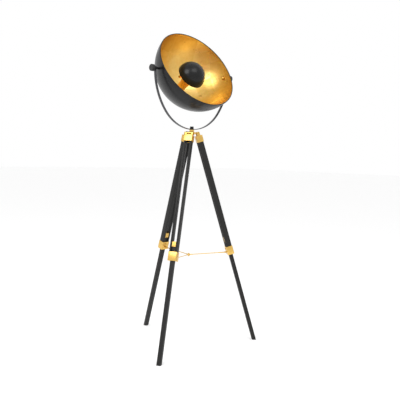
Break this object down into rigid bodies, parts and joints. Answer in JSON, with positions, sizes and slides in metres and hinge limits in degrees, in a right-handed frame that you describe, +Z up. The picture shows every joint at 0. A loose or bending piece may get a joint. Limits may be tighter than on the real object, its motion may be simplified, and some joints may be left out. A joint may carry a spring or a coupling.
{
  "type": "tripod floor lamp",
  "caption": "Tripod floor lamp: a black bowl lined in gold leaf with a glare cap, tilting in a bent yoke that swivels on telescopic folding wooden legs.",
  "frame": {"origin": "middle of the footprint's box, on the floor; the tripod's own axis stands 81 mm behind it", "axes": "+Z up; the bowl faces -Y; the tilt axis runs along X"},
  "size_m": [0.5998, 0.5199, 1.4487],
  "materials": {
    "black_paint": "satin black paint",
    "black_knob": "moulded, fluted grip",
    "gold_leaf": "hammered gold leaf, satin",
    "gunmetal": "dark satin metallic paint",
    "brass": "polished and lacquered",
    "steel": "zinc plated",
    "black_plastic": "matt moulded",
    "opal_glass": "opal white",
    "aluminium": "rolled thread",
    "black_wood": "black satin stain over open grain",
    "rubber": "matt"
  },
  "bodies": {
    "hub": {"hub": "brass", "swivel_stud": "steel"},
    "yoke": {"yoke": "gunmetal", "yoke_washers": "black_paint"},
    "swivel_clamp": {"swivel_nut": "gunmetal"},
    "head": {"bowl_shell": "black_paint", "gold_lining": "gold_leaf", "glare_cap": "black_paint", "cap_lining": "gold_leaf", "cap_bracket": "gold_leaf", "bracket_screws": "brass", "holder_sleeve": "gold_leaf", "lamp_holder": "black_plastic", "lamp_contacts": "brass", "bulb_glass": "opal_glass", "bulb_base": "aluminium", "threaded_tube": "steel", "back_cover": "black_paint", "cable_gland": "black_plastic", "pivot_spacers": "black_paint", "pivot_bolts": "brass", "inner_washers": "gold_leaf"},
    "knob_left": {"tilt_knob_left": "black_knob"},
    "knob_right": {"tilt_knob_right": "black_knob"},
    "leg_rear": {"leg_cap_rear": "brass", "leg_rails_rear": "black_wood", "leg_collar_rear": "brass", "hinge_pin_rear": "brass", "leg_fasteners_rear": "brass", "stay_pin_rear": "brass"},
    "leg_left": {"leg_cap_left": "brass", "leg_rails_left": "black_wood", "leg_collar_left": "brass", "hinge_pin_left": "brass", "leg_fasteners_left": "brass", "stay_pin_left": "brass"},
    "leg_right": {"leg_cap_right": "brass", "leg_rails_right": "black_wood", "leg_collar_right": "brass", "hinge_pin_right": "brass", "leg_fasteners_right": "brass", "stay_pin_right": "brass"},
    "clamp_rear": {"clamp_screw_rear": "brass"},
    "clamp_left": {"clamp_screw_left": "brass"},
    "clamp_right": {"clamp_screw_right": "brass"},
    "lower_rear": {"lower_leg_rear": "black_wood", "lower_leg_tip_rear": "brass", "foot_pad_rear": "rubber"},
    "lower_left": {"lower_leg_left": "black_wood", "lower_leg_tip_left": "brass", "foot_pad_left": "rubber"},
    "lower_right": {"lower_leg_right": "black_wood", "lower_leg_tip_right": "brass", "foot_pad_right": "rubber"},
    "stay_rear": {"spreader_stay_rear": "brass"},
    "stay_left": {"spreader_stay_left": "brass"},
    "stay_right": {"spreader_stay_right": "brass"},
    "spreader": {"spreader_knob": "brass"}
  },
  "joints": [
    {"name": "yoke_swivel", "type": "hinge", "parent": "hub", "child": "yoke", "pos_m": [0, -0.08124, 1.005], "axis": [0, 0, 1], "range_deg": [-170, 170]},
    {"name": "swivel_nut_turn", "type": "hinge", "parent": "hub", "child": "swivel_clamp", "pos_m": [0, -0.08124, 1.013], "axis": [0, 0, 1], "continuous": true},
    {"name": "head_tilt", "type": "hinge", "parent": "yoke", "child": "head", "pos_m": [0, -0.08124, 1.26], "axis": [1, 0, 0], "range_deg": [-57, 120]},
    {"name": "knob_left_turn", "type": "hinge", "parent": "yoke", "child": "knob_left", "pos_m": [-0.23, -0.08124, 1.26], "axis": [-1, 0, 0], "continuous": true},
    {"name": "knob_right_turn", "type": "hinge", "parent": "yoke", "child": "knob_right", "pos_m": [0.23, -0.08124, 1.26], "axis": [1, 0, 0], "continuous": true},
    {"name": "leg_fold_rear", "type": "hinge", "parent": "hub", "child": "leg_rear", "pos_m": [0, -0.05324, 0.988], "axis": [-1, 0, 0], "range_deg": [0, 16], "deforming": ["spreader_stay_rear", "spreader_stay_left", "spreader_stay_right"]},
    {"name": "leg_fold_left", "type": "hinge", "parent": "hub", "child": "leg_left", "pos_m": [-0.02425, -0.09524, 0.988], "axis": [0.5, -0.866, 0], "range_deg": [0, 16]},
    {"name": "leg_fold_right", "type": "hinge", "parent": "hub", "child": "leg_right", "pos_m": [0.02425, -0.09524, 0.988], "axis": [0.5, 0.866, 0], "range_deg": [0, 16]},
    {"name": "leg_slide_rear", "type": "slide", "parent": "leg_rear", "child": "lower_rear", "axis": [0, -0.2941, 0.9558], "range_m": [0, 0.42]},
    {"name": "leg_slide_left", "type": "slide", "parent": "leg_left", "child": "lower_left", "axis": [0.2547, 0.147, 0.9558], "range_m": [0, 0.42]},
    {"name": "leg_slide_right", "type": "slide", "parent": "leg_right", "child": "lower_right", "axis": [-0.2547, 0.147, 0.9558], "range_m": [0, 0.42]},
    {"name": "stay_swing_rear", "type": "hinge", "parent": "leg_rear", "child": "stay_rear", "pos_m": [0, 0.09451, 0.42977], "axis": [-1, 0, 0], "range_deg": [-99, 0]},
    {"name": "stay_swing_left", "type": "hinge", "parent": "leg_left", "child": "stay_left", "pos_m": [-0.15221, -0.16912, 0.42977], "axis": [0.5, -0.866, 0], "range_deg": [-99, 0]},
    {"name": "stay_swing_right", "type": "hinge", "parent": "leg_right", "child": "stay_right", "pos_m": [0.15221, -0.16912, 0.42977], "axis": [0.5, 0.866, 0], "range_deg": [-99, 0]},
    {"name": "spreader_drop", "type": "slide", "parent": "hub", "child": "spreader", "axis": [0, 0, 1], "range_m": [-0.1864, 0]},
    {"name": "clamp_turn_rear", "type": "hinge", "parent": "leg_rear", "child": "clamp_rear", "pos_m": [0, 0.09717, 0.44628], "axis": [0, -0.9558, -0.2941], "continuous": true},
    {"name": "clamp_turn_left", "type": "hinge", "parent": "leg_left", "child": "clamp_left", "pos_m": [-0.15451, -0.17045, 0.44628], "axis": [0.8277, 0.4779, -0.2941], "continuous": true},
    {"name": "clamp_turn_right", "type": "hinge", "parent": "leg_right", "child": "clamp_right", "pos_m": [0.15451, -0.17045, 0.44628], "axis": [-0.8277, 0.4779, -0.2941], "continuous": true}
  ],
  "couplings": [
    {"joint": "leg_fold_left", "follows": "leg_fold_rear", "ratio": 1},
    {"joint": "leg_fold_right", "follows": "leg_fold_rear", "ratio": 1},
    {"joint": "stay_swing_rear", "follows": "leg_fold_rear", "ratio": -6.0923},
    {"joint": "stay_swing_left", "follows": "leg_fold_rear", "ratio": -6.0923},
    {"joint": "stay_swing_right", "follows": "leg_fold_rear", "ratio": -6.0923},
    {"joint": "spreader_drop", "follows": "leg_fold_rear", "m_per_rad": -0.66031}
  ]
}
